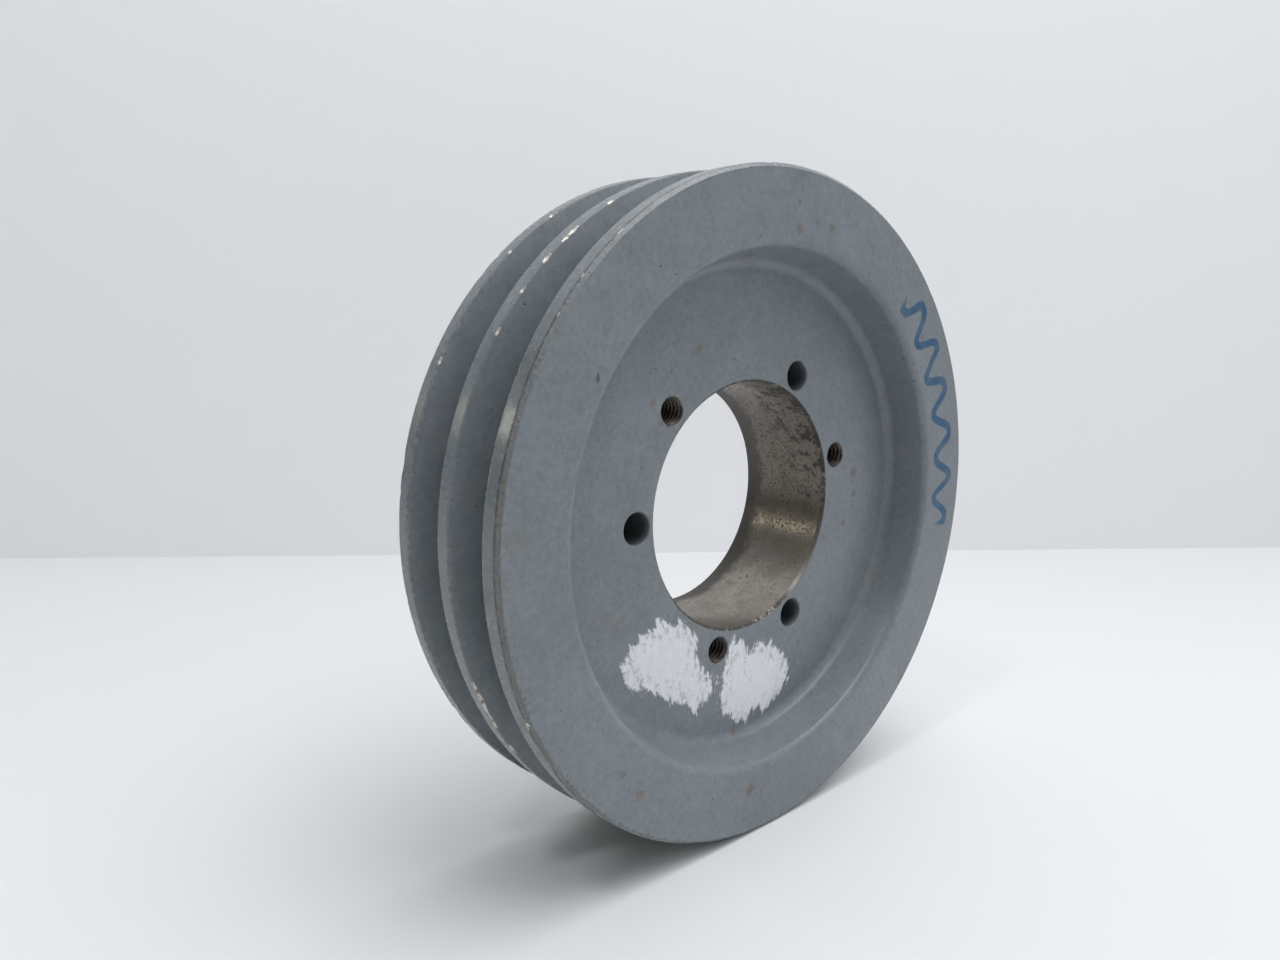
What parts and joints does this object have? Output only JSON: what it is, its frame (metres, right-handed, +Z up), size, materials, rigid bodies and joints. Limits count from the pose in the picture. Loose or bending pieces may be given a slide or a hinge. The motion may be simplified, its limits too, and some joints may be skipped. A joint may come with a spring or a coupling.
{
  "type": "v belt pulley",
  "caption": "Grooved cast iron V-belt sheave with a recessed front face and a tapered through bore for a split bushing.",
  "frame": {"origin": "wheel centre: on the bore axis, midway between the front and rear rim faces", "axes": "+Y along the bore axis from the recessed front face to the rear, +Z up, +X to the right seen from the front"},
  "size_m": [0.1866, 0.0444, 0.1866],
  "materials": {
    "grey_enamel": "semi-gloss blue-grey enamel over cast iron"
  },
  "bodies": {
    "root": {"sheave_casting": "grey_enamel"}
  },
  "joints": []
}
